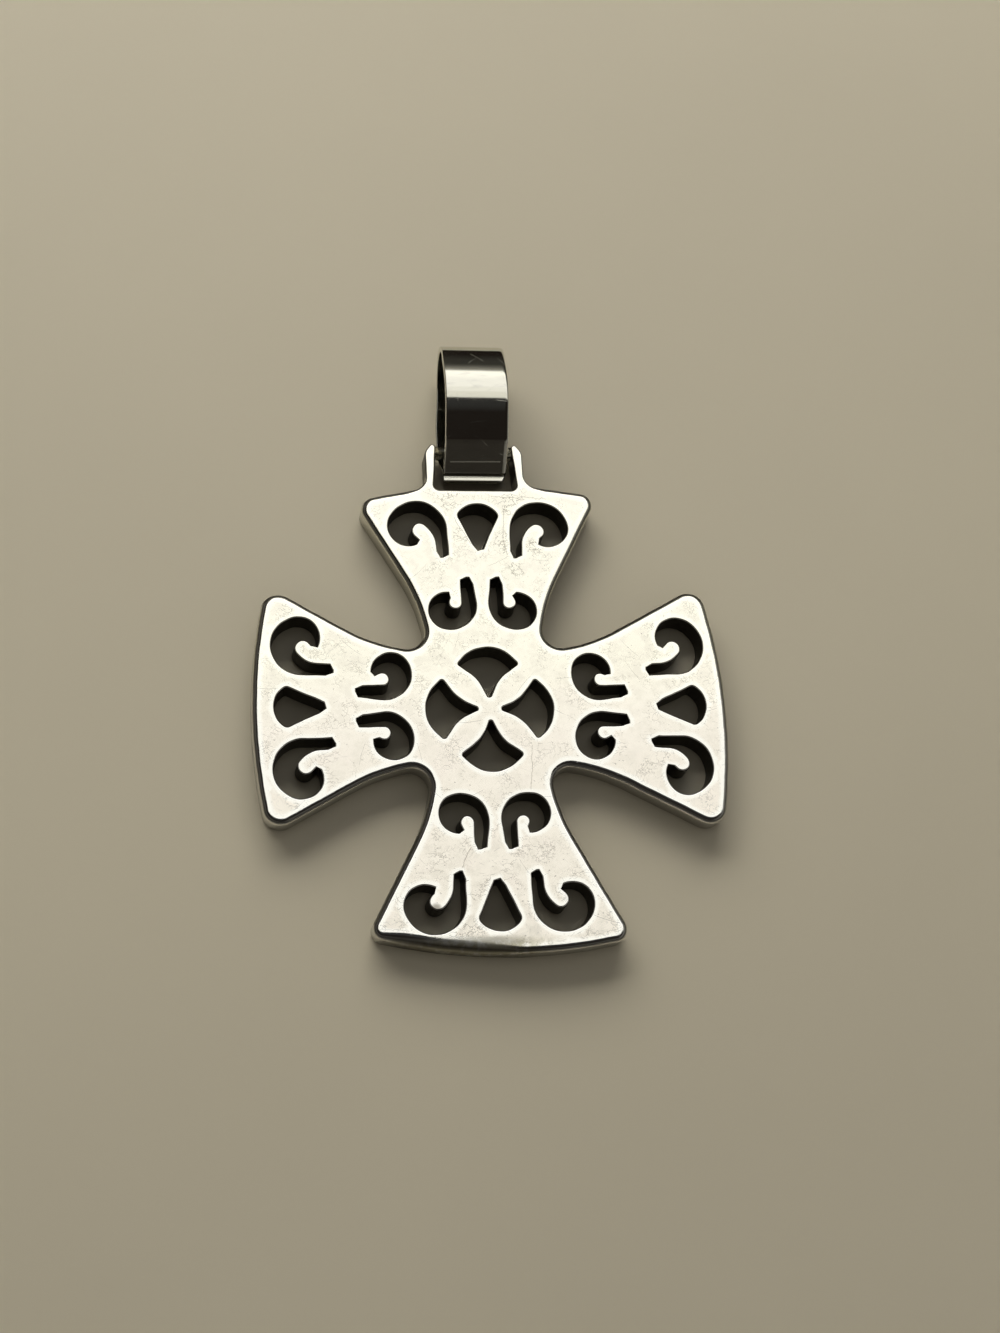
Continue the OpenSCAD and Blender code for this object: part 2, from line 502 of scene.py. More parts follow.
class Paint:
    """The nodes of one material or of the surroundings."""

    def __init__(self, owner: bpy.types.Material | bpy.types.World) -> None:
        """Clears the nodes.

        Args:
            owner: the material or the surroundings that they belong to.
        """
        owner.use_nodes = True
        self.owner = owner
        self.tree = owner.node_tree
        self.tree.nodes.clear()

    @classmethod
    def material(cls, name: str) -> "Paint":
        """Starts a new material."""
        return cls(bpy.data.materials.new(name))

    def node(
        self, kind: str, settings: Settings | None = None, inputs: Inputs | None = None
    ) -> bpy.types.Node:
        """Adds a node.

        Args:
            kind: the node's type.
            settings: its own properties, set first.
            inputs: the value or the link of each of its sockets.

        Returns:
            The node.
        """
        made = self.tree.nodes.new(kind)
        for key, value in (settings or {}).items():
            setattr(made, key, value)
        for key, value in (inputs or {}).items():
            socket = made.inputs[key]
            source = value.socket if isinstance(value, Value) else value
            if isinstance(source, Socket):
                self.tree.links.new(source, socket)
            else:
                socket.default_value = source
        return made

    def value(
        self,
        kind: str,
        settings: Settings | None = None,
        inputs: Inputs | None = None,
        output: str | int = 0,
    ) -> Value:
        """Adds a node and wraps one of its outputs."""
        return Value(self, self.node(kind, settings, inputs).outputs[output])

    def mask(self, name: str) -> Value:
        """The mask of that name that the mesh carries."""
        return self.value("ShaderNodeAttribute", {"attribute_name": name}, output="Fac")

    def parts(self, vector: Socket) -> list[Value]:
        """The three numbers of a vector."""
        node = self.node("ShaderNodeSeparateXYZ", None, {0: vector})
        return [Value(self, output) for output in node.outputs]

    def place(self) -> Socket:
        """The place on the surface, in millimetres in the pendant's frame."""
        object_place = self.node("ShaderNodeTexCoord").outputs["Object"]
        return self.vector("SCALE", object_place, {"Scale": 1.0 / MM})

    def vector(
        self, operation: str, first: Socket, more: Inputs | None = None
    ) -> Socket:
        """Adds a Vector Math node.

        Args:
            operation: what it does.
            first: its first vector.
            more: its other sockets.

        Returns:
            Its vector output.
        """
        inputs = {0: first, **(more or {})}
        return self.node("ShaderNodeVectorMath", {"operation": operation}, inputs).outputs[0]

    def bumped(self, strength: float, depth: float, height: Value) -> Socket:
        """Adds fine relief.

        Args:
            strength: how strongly it shows.
            depth: how deep a height of 1 is, in millimetres.
            height: the relief.

        Returns:
            The direction of the surface with its relief.
        """
        inputs = {"Strength": strength, "Distance": depth * MM, "Height": height}
        return self.node("ShaderNodeBump", None, inputs).outputs[0]

    def blend(self, share: Value | float, a: Tone, b: Tone) -> Socket:
        """Blends two colours.

        Args:
            share: how much of the second shows.
            a: the first colour, or a link to one.
            b: the second.

        Returns:
            The blend as a colour output.
        """
        first, second = ((*c, 1.0) if isinstance(c, tuple) else c for c in (a, b))
        inputs = {0: share, 6: first, 7: second}
        return self.node("ShaderNodeMix", {"data_type": "RGBA"}, inputs).outputs[2]

    def shaded(self, inputs: Inputs) -> bpy.types.Material:
        """Ends the material with one surface shader.

        Args:
            inputs: the values and links of the shader's sockets.

        Returns:
            The material.
        """
        shader = self.node("ShaderNodeBsdfPrincipled", None, inputs)
        self.node("ShaderNodeOutputMaterial", None, {"Surface": shader.outputs[0]})
        return self.owner


def weighted(
    parts: Sequence[Value], shares: Sequence[float], start: Value | float = 0.0
) -> Value:
    """What a start comes to with each part times its share added."""
    return sum((part * share for part, share in zip(parts, shares)), start=start)


@dataclass(frozen=True)
class Clouds:
    """Cloudy noise: its clouds to the millimetre, its detail and its roughness."""

    scale: float
    detail: float = 3.0
    rough: float = 0.6

    def drawn(self, paint: Paint, place: Socket) -> Value:
        """The noise, from 0 to 1."""
        inputs = {"Scale": self.scale, "Detail": self.detail, "Roughness": self.rough}
        return paint.value("ShaderNodeTexNoise", None, {"Vector": place, **inputs})


@dataclass(frozen=True)
class Spot:
    """A round spot with a soft rim: its middle, its radius, and the share of its area
    that is full."""

    x: float
    y: float
    radius: float
    core: float = 0.2

    def drawn(self, x: Value, y: Value) -> Value:
        """Draws it.

        Args:
            x: how far right a place on the surface is.
            y: how far up.

        Returns:
            1 in the spot's core and 0 beyond its radius.
        """
        across, up = x - self.x, y - self.y
        area = self.radius**2
        return (across * across + up * up).rise(area, area * self.core)


@dataclass(frozen=True)
class Scratches:
    """Short hairline scratches at random places and angles: how far apart the places are,
    how long each scratch is and half its width, the share of the places that have one,
    how much a scratch bows, the share of its size that is full, and how softly the choice
    between the places is made."""

    spacing: float
    length: float
    width: float
    share: float = 0.5
    bow: float = 0.06
    core: float = 0.3
    soft: float = 0.02

    def drawn(self, paint: Paint, place: Socket) -> Value:
        """Draws them.

        Args:
            paint: the material they are in.
            place: the place on the surface in millimetres.

        Returns:
            1 in a scratch and 0 beside it.
        """
        inputs = {"Vector": place, "Scale": 1.0 / self.spacing}
        cell = paint.node("ShaderNodeTexVoronoi", {"voronoi_dimensions": "2D"}, inputs)
        away = paint.vector("SUBTRACT", place, {1: cell.outputs["Position"]})
        chance = paint.node("ShaderNodeSeparateColor", None, {0: cell.outputs["Color"]})
        angle, there = (Value(paint, chance.outputs[i]) for i in (0, 1))
        inputs = {"Vector": away, "Angle": angle * math.tau}
        turned = paint.node("ShaderNodeVectorRotate", {"rotation_type": "Z_AXIS"}, inputs)
        along, across, _ = paint.parts(turned.outputs[0])
        bent = across + along * along * self.bow
        line = abs(bent).rise(self.width, self.width * self.core)
        ends = abs(along).rise(self.length / 2, self.length * self.core)
        start = 1.0 - self.share
        return line * ends * there.rise(start, start + self.soft)


@dataclass(frozen=True)
class Mark:
    """One scratch that can be told apart: its two ends, how dark it is, half its width,
    and the share of that width that is full."""

    x0: float
    y0: float
    x1: float
    y1: float
    dark: float = 1.0
    width: float = 0.05
    core: float = 0.2

    def drawn(self, x: Value, y: Value) -> Value:
        """Draws it.

        Args:
            x: how far right a place on the surface is.
            y: how far up.

        Returns:
            Its darkness in the scratch and 0 beside it.
        """
        dx, dy = self.x1 - self.x0, self.y1 - self.y0
        length = math.hypot(dx, dy)
        ux, uy = dx / length, dy / length
        along = x * ux + y * uy - (self.x0 * ux + self.y0 * uy)
        across = x * uy - y * ux - (self.x0 * uy - self.y0 * ux)
        over = abs(along - length / 2).rise(length / 2, length / 2 - self.width * 2)
        return abs(across).rise(self.width, self.width * self.core) * over * self.dark


@dataclass(frozen=True)
class Crazing:
    """Crooked hairlines, close together in a few round patches and sparse elsewhere. The
    lines follow two layers of clouds, each at its own level."""

    patches: tuple[Spot, ...]
    width: float = 0.018
    core: float = 0.25
    layers: tuple[Clouds, Clouds] = (Clouds(1.5, 3.0, 0.55), Clouds(0.9, 4.0))
    levels: Span = (0.5, 0.47)
    second_share: float = 0.7
    sparse: Clouds = Clouds(0.5, 2.0, 0.5)
    sparse_span: Span = (0.42, 0.62)
    sparse_share: float = 0.55

    def drawn(self, paint: Paint, place: Socket, x: Value, y: Value) -> Value:
        """Draws them.

        Args:
            paint: the material they are in.
            place: the place on the surface in millimetres.
            x: how far right that is.
            y: how far up.

        Returns:
            1 in a line within a patch, less in a line elsewhere, and 0 beside the lines.
        """
        first, second = (
            abs(clouds.drawn(paint, place) - level).rise(self.width, self.width * self.core)
            for clouds, level in zip(self.layers, self.levels)
        )
        there = self.sparse.drawn(paint, place).rise(*self.sparse_span) * self.sparse_share
        for patch in self.patches:
            there = patch.drawn(x, y).most(there)
        return first.most(second * self.second_share) * there


@dataclass(frozen=True)
class CastSilver:
    """The cross: cast silver, polished by hand on its face, with a painted highlight along its
    edges and a warmer painted reflection on its upper half, and with painted shade on its
    walls, its rounded edges and in its cut-outs. A span says where a change starts and where
    it is complete. The shares of wear are for hairlines, fine scratches, pits and crazing;
    those of the middle's roughness for clouds and haze; those of the rest of it for wear, the
    painted shade and the bevel; those of the relief for clouds, blotches, hairlines, fine
    scratches, pits and crazing."""

    # bright and upper_bright: the painted highlight near the edges; upper_bright and
    # upper_middle: the warmer painted reflection on the upper half
    bright: Colour = (0.985, 0.98, 0.96)
    middle: Colour = (0.915, 0.872, 0.815)
    upper_bright: Colour = (0.985, 0.975, 0.885)
    upper_middle: Colour = (0.93, 0.905, 0.805)
    shade: Colour = (0.24, 0.225, 0.185)
    dull: Colour = (0.77, 0.735, 0.665)
    pink: Colour = (0.90, 0.835, 0.795)
    olive: Colour = (0.50, 0.47, 0.34)
    tarnish: Colour = (0.20, 0.175, 0.135)
    # wall_shade: the colour of the painted shade on the walls, the rounded edges and the bar's
    # middle
    wall_shade: Colour = (0.050, 0.043, 0.031)
    gloss: float = 0.07
    clouds: Clouds = Clouds(0.35, 5.0)
    blotches: Clouds = Clouds(2.2, 7.0, 0.68)
    haze: Clouds = Clouds(0.9, 4.0)
    haze_span: Span = (0.42, 0.66)
    pits: Clouds = Clouds(4.6, 3.0, 0.55)
    pit_span: Span = (0.67, 0.74)
    hair: Scratches = Scratches(3.1, 2.4, 0.020)
    fine: Scratches = Scratches(0.9, 0.6, 0.013)
    middle_span: Span = (0.12, 0.42)
    middle_wander: float = 0.4
    upper_span: Span = (-3.0, 5.0)
    dull_share: float = 0.35
    pink_span: Span = (0.5, 0.72)
    pink_share: float = 0.35
    pink_less: float = 0.25
    stains: Clouds = Clouds(1.3, 5.0)
    stain_span: Span = (0.34, 0.54)
    olive_up: Span = (-17.2, -18.2)
    olive_across: Span = (5.0, 1.0)
    olive_share: float = 0.8
    bevel_up: Span = (-17.2, -18.0)
    bevel_across: Span = (3.0, -1.5)
    bevel_share: float = 0.35
    bevel_deep: Span = (-4.0, -8.5)
    bevel_more: float = 0.5
    wear_shares: tuple[float, ...] = (0.22, 0.14, 0.35, 0.6)
    wear_span: Span = (0.05, 0.25)
    wear_most: float = 0.8
    middle_shares: Span = (0.05, 0.05)
    middle_rough: float = 0.04
    rough_shares: Triple = (0.2, 0.30, 0.38)
    relief: Span = (0.35, 0.02)
    relief_shares: tuple[float, ...] = (0.8, 0.25, -0.4, -0.2, -0.6, -0.5)
    head: Spot = Spot(-4.85, -15.35, 0.5477, 0.0667)
    head_span: Span = (0.6, 0.3)
    head_share: float = 0.75
    # The least share of the painted shade, and how much blotches break it up
    wall_least: float = 0.86
    shade_blotching: float = 0.3
    mark_bends: tuple[Clouds, Clouds] = (Clouds(1.1), Clouds(1.3))
    mark_swing: float = 0.5
    crazing: Crazing = Crazing(
        (
            Spot(2.6, 16.9, 1.5),
            Spot(1.9, 13.6, 1.3),
            Spot(4.3, 13.2, 1.0),
            Spot(-2.4, 17.3, 1.2),
            Spot(-1.5, 14.2, 0.9),
            Spot(2.7, 11.4, 0.9),
        )
    )
    marks: tuple[Mark, ...] = (
        Mark(-2.02, -10.67, -2.78, -12.32, 0.5),
        Mark(-2.61, -13.28, -2.23, -13.29, 0.9),
        Mark(-4.15, -6.34, -3.32, -6.35, 0.6),
        Mark(3.14, -2.92, 2.77, -6.44, 0.4),
        Mark(-2.06, 15.74, -0.75, 13.4, 0.4),
        Mark(2.02, 16.75, 1.78, 13.85, 0.45),
        Mark(1.78, 13.85, 2.1, 12.5, 0.5),
        Mark(0.95, 17.5, 3.2, 17.35, 0.4),
        Mark(3.4, 17.5, 5.5, 17.35, 0.35),
    )

    def polish(
        self, paint: Paint, y: Value, middle: Value, clouds: Value, haze: Value
    ) -> Socket:
        """Mixes the clean face, with a painted highlight near its edges and a warmer painted
        reflection on its upper half.

        Args:
            paint: the material.
            y: how far up a place is.
            middle: 1 away from every edge.
            clouds: broad clouds.
            haze: where the polish is dull.

        Returns:
            The colour of the face.
        """
        # Painted highlight: the face is brightest near every edge; painted reflection: its
        # upper half is warmer
        upper = y.rise(*self.upper_span)
        edge_highlight = paint.blend(upper, self.bright, self.upper_bright)
        colour = paint.blend(upper, self.middle, self.upper_middle)
        colour = paint.blend(middle, edge_highlight, colour)
        colour = paint.blend(middle * haze * self.dull_share, colour, self.dull)
        pink = clouds.rise(*self.pink_span) * (self.pink_share - upper * self.pink_less)
        return paint.blend(middle * pink, colour, self.pink)

    def marked(self, paint: Paint, place: Socket, x: Value, y: Value) -> Value:
        """Draws the scratches that can be told apart.

        Args:
            paint: the material.
            place: the place on the surface in millimetres.
            x: how far right that is.
            y: how far up.

        Returns:
            How dark they are, and 0 beside them.
        """
        bend_x, bend_y = (
            (bend.drawn(paint, place) - 0.5) * self.mark_swing for bend in self.mark_bends
        )
        dark: Value | float = 0.0
        for mark in self.marks:
            dark = mark.drawn(x + bend_x, y + bend_y).most(dark)
        return dark

    def mixed(self, name: str) -> bpy.types.Material:
        """Makes the material.

        Args:
            name: its name.

        Returns:
            The material, which reads the masks rim and hollow of the mesh.
        """
        paint = Paint.material(name)
        place = paint.place()
        x, y, _ = paint.parts(place)
        rim, hollow = paint.mask("rim"), paint.mask("hollow")
        clouds, blotches = self.clouds.drawn(paint, place), self.blotches.drawn(paint, place)
        haze = self.haze.drawn(paint, place).rise(*self.haze_span)
        pits = self.pits.drawn(paint, place).rise(*self.pit_span)
        hair, fine = self.hair.drawn(paint, place), self.fine.drawn(paint, place)
        craze = self.crazing.drawn(paint, place, x, y)
        middle = (rim + (clouds - 0.5) * self.middle_wander).rise(*self.middle_span)
        colour = self.polish(paint, y, middle, clouds, haze)
        stained = self.stains.drawn(paint, place).rise(*self.stain_span) * self.olive_share
        edge = y.rise(*self.olive_up) * x.rise(*self.olive_across) * stained
        colour = paint.blend(edge, colour, self.olive)
        bevel = y.rise(*self.bevel_up) * x.rise(*self.bevel_across)
        shaded = bevel * (self.bevel_share + x.rise(*self.bevel_deep) * self.bevel_more)
        colour = paint.blend(shaded, colour, self.shade)
        worn = weighted((hair, fine, pits * middle, craze), self.wear_shares)
        worn = worn * rim.rise(*self.wear_span)
        # A darker spot by the head of one hook on the lower arm, near the cut-out's edge
        head = self.head.drawn(x, y) * rim.rise(*self.head_span) * self.head_share
        for dark in (worn.least(self.wear_most), self.marked(paint, place, x, y), head):
            colour = paint.blend(dark, colour, self.tarnish)
        # Painted shade on the walls, the rounded edges and the bar's middle, a little blotchy
        shade_blotches = (blotches * self.shade_blotching + self.wall_least).least(1.0)
        colour = paint.blend(hollow * shade_blotches, colour, self.wall_shade)
        rough = weighted((clouds, haze), self.middle_shares) + self.middle_rough
        rough = middle * rough + self.gloss
        rough = weighted((worn, hollow, bevel), self.rough_shares, rough)
        height = weighted((clouds, blotches, hair, fine, pits, craze), self.relief_shares)
        return paint.shaded(
            {
                "Base Color": colour,
                "Metallic": 1.0,
                "Roughness": rough,
                "Normal": paint.bumped(*self.relief, height),
            }
        )


@dataclass(frozen=True)
class StrapSilver:
    """The bail: rolled silver strap, polished like a mirror, with fine lengthwise lines,
    smears and one dull crease across."""

    bright: Colour = (0.71, 0.695, 0.62)
    smudge: Colour = (0.52, 0.50, 0.47)
    gloss: float = 0.07
    clouds: Clouds = Clouds(0.7, 4.0)
    hair: Scratches = Scratches(1.3, 1.6, 0.016)
    hair_share: float = 0.4
    smears: Clouds = Clouds(1.1, 6.0, 0.65)
    smear_stretch: Triple = (0.6, 2.4, 2.4)
    smear_span: Span = (0.5, 0.72)
    smear_share: float = 0.35
    crease: Mark = Mark(-2.2, 20.27, 1.9, 20.31, width=0.045)
    crease_dull: float = 0.4
    cloud_rough: float = 0.05
    hair_rough: float = 0.1
    relief: Span = (0.25, 0.01)

    def mixed(self, name: str) -> bpy.types.Material:
        """Makes the material.

        Args:
            name: its name.

        Returns:
            The material.
        """
        paint = Paint.material(name)
        place = paint.place()
        x, y, _ = paint.parts(place)
        clouds = self.clouds.drawn(paint, place)
        crease = self.crease.drawn(x, y) * self.crease_dull
        hair = self.hair.drawn(paint, place)
        stretched = paint.vector("MULTIPLY", place, {1: self.smear_stretch})
        smear = self.smears.drawn(paint, stretched).rise(*self.smear_span)
        colour = paint.blend(smear * self.smear_share, self.bright, self.smudge)
        colour = paint.blend(hair * self.hair_share, colour, self.smudge)
        rough = clouds * self.cloud_rough + self.gloss + hair * self.hair_rough + crease
        return paint.shaded(
            {
                "Base Color": colour,
                "Metallic": 1.0,
                "Roughness": rough,
                "Normal": paint.bumped(*self.relief, clouds - hair),
            }
        )


# The cross


@dataclass
class Cross:
    """The cast cross: the pierced plate with the legs of its lug, and the bar."""

    # The outline, the lug and its slot
    thickness: float = 2.15
    reach: float = 18.55
    end_radius: float = 42.0
    corner_x: float = 8.0
    corner_radius: float = 1.4
    corner_shift: float = 1.4
    notch_at: float = 6.0
    notch_radius: float = 1.35
    flank_radius: float = 13.6
    flank_tilt: float = 10.0
    lug_left: float = 0.18
    lug_width: float = 7.9
    leg_width: float = 0.82
    leg_top: float = 22.05
    slot_y: float = 18.05
    slot_taper: float = 0.15
    slot_radius: float = 0.45
    shoulder: float = 1.1
    fillet: float = 1.0
    fillet_gap: float = 0.002
    tip: float = 0.3
    tip_drop: float = 0.05
    # The bar between the legs
    bar_radius: float = 0.525
    bar_flare: float = 0.36
    bar_neck: float = 0.8
    bar_from: float = 0.9
    bar_rings: int = 9
    bar_over: float = 0.05
    bar_into: float = 0.35
    bar_flat: float = 0.12
    bar_lean: float = 0.35
    # Painted shade on the bar's middle, under the strap
    bar_dark: float = 0.6
    bar_y: float = 21.55
    bar_z: float = 1.2
    bar_sides: int = 48
    # The rounded edges and rims
    front_edge: float = 0.5
    worn_edge: float = 0.9
    worn_across: tuple[Span, ...] = ((2.5, -2.5), (-9.8, -7.0))
    worn_facing: Span = (-0.3, -0.8)
    worn_depth: float = 3.0
    back_edge: float = 0.25
    lug_edge: float = 0.14
    lug_fade: float = 1.8
    lug_foot: Span = (-1.4, -0.9)
    leg_foot: Span = (0.2, 0.7)
    rim_edge: float = 0.12
    rim_draft: float = 0.08
    rim_back: float = 0.10
    flat_left: float = 0.12
    # The rings of the walls, and the painted shade on the walls and the rounded edges
    front_steps: int = 7
    back_steps: int = 4
    wall_shares: tuple[float, ...] = (0.3, 0.6, 0.85)
    far_facing: Span = (0.15, 0.6)
    far_span: Span = (0.3, 0.5)
    near_dark: float = 0.3
    near_span: Span = (0.5, 0.9)
    line_dark: float = 0.9
    line_spans: tuple[Span, Span] = ((0.2, 0.36), (0.72, 0.5))
    hole_span: Span = (0.3, 0.8)
    wall_dark: float = 0.32
    wall_darker: float = 0.35
    back_dark: float = 0.6
    # The loose points on the faces
    spacing: float = 0.42
    lattice_over: float = 1.0
    margin: float = 0.55
    # The four arms, and the cut-outs of the upper one
    arms: tuple[Arm, ...] = (
        Arm(0, 0, -0.14, -0.25, 1.7, -0.05, 0.35, 0.2, 0.35),
        Arm(-90, 0.12, -0.17, 0, 1, 0, 0),
        Arm(-180, 0.24, 0.08, 0, -1.9, -0.2, 0.05, 0.35, 0.45),
        Arm(-270, -0.45, 0.27, -0.3, -0.5, -0.15, 0.3),
    )
    outer_scroll: tuple[Round, ...] = (
        Round(3.12, 12.53, 0.08),
        Round(2.66, 12.53, 0.08),
        Round(4.85, 14.68, 2.22),
        Round(5.53, 14.90, 1.50),
        Round(4.77, 13.65, 0.05),
        Round(4.60, 14.55, 0.73, -1),
        Round(5.60, 13.30, 2.33, -1),
    )
    inner_scroll: tuple[Round, ...] = (
        Round(0.92, 10.50, 0.07),
        Round(1.44, 10.52, 0.07),
        Round(2.12, 8.62, 0.61, -1),
        Round(2.55, 9.28, 0.05),
        Round(2.72, 7.93, 1.40),
        Round(2.55, 8.46, 1.95),
    )
    drop: tuple[Round, ...] = (
        Round(0.15, 13.12, 0.07),
        Round(-0.15, 13.12, 0.07),
        Round(-1.16, 15.87, 0.3),
        Round(0, 15, 1.75),
        Round(1.16, 15.87, 0.3),
    )
    fan: tuple[Round, ...] = (
        Round(0, 1.1, 0.08),
        Round(-3.15, 0.5, 3.05, -1),
        Round(-2.12, 3.62, 0.08),
        Round(0, 2.3, 2.53),
        Round(2.12, 3.62, 0.08),
        Round(3.15, 0.5, 3.05, -1),
    )
    belt: BeltMaker = BeltMaker()
    waver: float = 0.03

    @property
    def end_y(self) -> float:
        """How far up the middle of the upper arm's bowed end lies."""
        return self.reach - self.end_radius

    def leaned(self, part: Round, arm: Arm) -> Round:
        """Brings a round of the upper arm's end to an arm, turned about the end's middle.

        Args:
            part: the round.
            arm: the arm it goes to.

        Returns:
            The round on that arm.
        """
        a = math.radians(arm.lean)
        c, s, up = math.cos(a), math.sin(a), part.y - self.reach
        x, y = part.x * c - up * s, self.reach + part.x * s + up * c
        return replace(part, x=x, y=y).on(arm)

    def bow(self, arm: Arm) -> Round:
        """The round of an arm's bowed end."""
        return self.leaned(Round(0, self.end_y, self.end_radius), arm)

    def corner(self, arm: Arm, way: Hand) -> Round:
        """Places one corner of an arm's end.

        Args:
            arm: the arm.
            way: which of its corners.

        Returns:
            The round of the corner.
        """
        sharper = arm.left_sharper if way == Hand.LEFT else arm.right_sharper
        radius = self.corner_radius - sharper
        x = self.corner_x + arm.wider + sharper * self.corner_shift
        y = self.end_y + math.sqrt((self.end_radius - radius) ** 2 - x**2)
        return self.leaned(Round(way * x, y, radius), arm)

    def notch(self, arm: Arm) -> Round:
        """The round in the notch on the right of an arm."""
        middle = Round(self.notch_at, self.notch_at, self.notch_radius, -1).on(arm, False)
        return replace(middle, x=middle.x + arm.notch_x, y=middle.y + arm.notch_y)

    def flank(self, beside: Round, arm: Arm, way: Hand) -> Round:
        """The hollow of an arm's flank.

        Args:
            beside: the round in the notch beside it.
            arm: the arm.
            way: which of its flanks.

        Returns:
            The round of the hollow.
        """
        gap = self.flank_radius - self.notch_radius
        tilt = math.radians(self.flank_tilt)
        there = Round(way * gap * math.cos(tilt), -gap * math.sin(tilt), self.flank_radius, -1)
        turned = there.on(arm, False)
        return replace(turned, x=turned.x + beside.x, y=turned.y + beside.y)

    def lug_rounds(self) -> list[Round]:
        """Places the legs and the slot between them.

        Returns:
            Their rounds, from left to right.
        """
        half = self.lug_width / 2
        slot = half - self.leg_width
        end = self.bow(self.arms[0])
        legs = []
        for way in Hand:
            fillet_x = way * (half + self.fillet) - self.lug_left
            reach = end.radius + self.fillet
            fillet_y = end.y + math.sqrt(reach**2 - (fillet_x - end.x) ** 2)
            foot = way * (slot + self.slot_taper - self.slot_radius) - self.lug_left
            tip = way * (slot - self.slot_taper + self.tip) - self.lug_left
            shoulder = way * (half - self.shoulder) - self.lug_left
            legs.append(
                [
                    Round(fillet_x, fillet_y + self.fillet_gap, self.fillet, -1),
                    Round(shoulder, self.leg_top - self.shoulder, self.shoulder),
                    Round(tip, self.leg_top - self.tip_drop - self.tip, self.tip),
                    Round(foot, self.slot_y + self.slot_radius, self.slot_radius, -1),
                ]
            )
        return legs[0] + legs[1][::-1]

    def arm_rounds(self, i: int) -> list[Round]:
        """Lists the rounds from the flank on an arm's left to the notch on its right.

        Args:
            i: the arm's place among the four.

        Returns:
            The rounds, clockwise.
        """
        arm = self.arms[i]
        before, after = self.notch(self.arms[i - 1]), self.notch(arm)
        end = self.bow(arm)
        return [
            self.flank(before, arm, Hand.LEFT),
            self.corner(arm, Hand.LEFT),
            *([end, *self.lug_rounds(), end] if i == 0 else [end]),
            self.corner(arm, Hand.RIGHT),
            self.flank(after, arm, Hand.RIGHT),
            after,
        ]

    def outline(self) -> Outline:
        """The cross seen from the front, with its legs."""
        rounds = [r for i in range(len(self.arms)) for r in self.arm_rounds(i)]
        return self.belt.round_the(rounds).wavering(self.waver, inwards=True)

    def cut_outs(self) -> list[Outline]:
        """Cuts the pattern out of each arm.

        Returns:
            The outlines of the 24 cut-outs.
        """
        made = []
        for arm in self.arms:
            for scroll in (self.outer_scroll, self.inner_scroll):
                made.append([r.on(arm) for r in scroll])
                made.append([r.mirrored().on(arm) for r in reversed(scroll)])
            made.append([r.on(arm) for r in self.drop])
            made.append([r.on(arm, False) for r in self.fan])
        return [self.belt.round_the(rounds).wavering(self.waver) for rounds in made]

    def edge_at(
        self, outline: Outline, full: float, holes: Sequence[Outline], rim: float
    ) -> np.ndarray:
        """How far the edge is rounded at each point: more where the lower arm's end is
        worn, and less on the thin legs of the lug and where a cut-out comes close.

        Args:
            outline: the outline of the cross.
            full: the rounding away from all that.
            holes: the cut-outs.
            rim: the rounding of their rims.

        Returns:
            One radius for each point.
        """
        x, y = outline.points.T
        clear = nearest(outline.points, np.concatenate([hole.points for hole in holes]))
        worn = smooth(*self.worn_facing, outline.normals[:, 1])
        worn = worn * (y < self.worn_depth - self.reach)
        for span in self.worn_across:
            worn = worn * smooth(*span, x)
        full = full * (1.0 + (self.worn_edge / self.front_edge - 1.0) * worn)
        full = np.minimum(full, clear - rim - self.flat_left)
        return full + (np.minimum(self.lug_edge, full) - full) * self.on_lug(outline.points)

    def on_lug(self, flat: np.ndarray) -> np.ndarray:
        """Tells the legs of the lug from the rest of the cross.

        Args:
            flat: places on the cross.

        Returns:
            1 for each on the legs and 0 for each of the others.
        """
        x, y = flat.T
        half = self.lug_width / 2
        beyond = smooth(half, half + self.lug_fade, np.abs(x + self.lug_left))
        return smooth(*self.lug_foot, y - self.reach) * (1.0 - beyond)

    @staticmethod
    def swell(flat: np.ndarray) -> tuple[np.ndarray, np.ndarray]:
        """The polished face's slight hollows.

        Args:
            flat: places on the face.

        Returns:
            How far below the flat face each is, and the slopes there.
        """
        x, y = flat.T
        depth = np.zeros(len(flat))
        slope = np.zeros((len(flat), 2))
        for kx, ky, start, high in HOLLOWS:
            turn = kx * x + ky * y + start
            depth += high * (1.0 - np.cos(turn))
            slope += high * np.sin(turn)[:, None] * np.array([kx, ky])
        return depth, slope

    def far_side(self, outline: Outline) -> np.ndarray:
        """Tells where the wall faces the bail or belongs to a leg, which takes full painted
        shade.

        Args:
            outline: the outline that the wall follows.

        Returns:
            1 for each point where it does and 0 for each of the others.
        """
        y = outline.points[:, 1] - self.reach
        legs = self.on_lug(outline.points) * smooth(*self.leg_foot, y)
        return np.maximum(smooth(*self.far_facing, outline.normals[:, 1]), legs)

    def front_dark(self, share: float, far: np.ndarray, way: Facing) -> np.ndarray:
        """How much painted shade the rounding at the front gets: a painted dark reflection as
        a line across it, more shade towards the wall, and full shade where the wall faces the
        bail; in a cut-out, shade that rises across the rounding.

        Args:
            share: how far round it a ring lies, from 0 on the face to 1 on the wall.
            far: 1 where the wall faces the bail.
            way: out of the cross or into a cut-out.

        Returns:
            The painted shade of the ring.
        """
        at = np.array(share)
        if way == Facing.IN:
            return smooth(*self.hole_span, at)
        line = self.line_dark * math.prod(smooth(*span, at) for span in self.line_spans)
        near = self.near_dark * smooth(*self.near_span, at)
        return np.maximum(np.maximum(far * smooth(*self.far_span, at), near), line)

